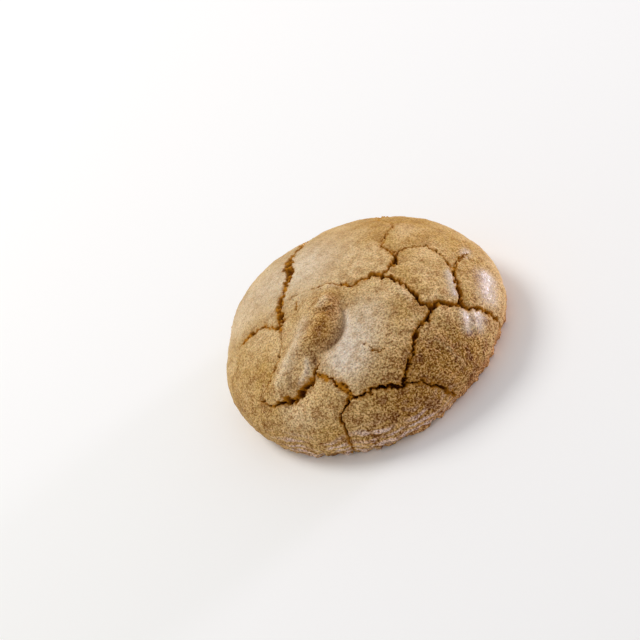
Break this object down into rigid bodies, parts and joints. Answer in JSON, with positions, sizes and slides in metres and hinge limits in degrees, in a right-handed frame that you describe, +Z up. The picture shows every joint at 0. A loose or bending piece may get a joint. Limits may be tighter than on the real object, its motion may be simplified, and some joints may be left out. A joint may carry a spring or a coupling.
{
  "type": "walnut cookie",
  "caption": "Round domed nut cookie with a flat underside, a crackled golden-brown crust and a lump of walnut under the crust.",
  "frame": {"origin": "centre of the flat underside, on the surface the cookie rests on", "axes": "+Z up through the top of the dome; the walnut lump runs down to the -X, -Y side; -Y faces the viewer"},
  "size_m": [0.0584, 0.0582, 0.0227],
  "materials": {
    "baked_crust": "baked nut dough: sandy light golden-brown crust with a faint sheen, orange-brown and crumbly in the cracks"
  },
  "bodies": {
    "root": {"walnut_cookie": "baked_crust"}
  },
  "joints": []
}
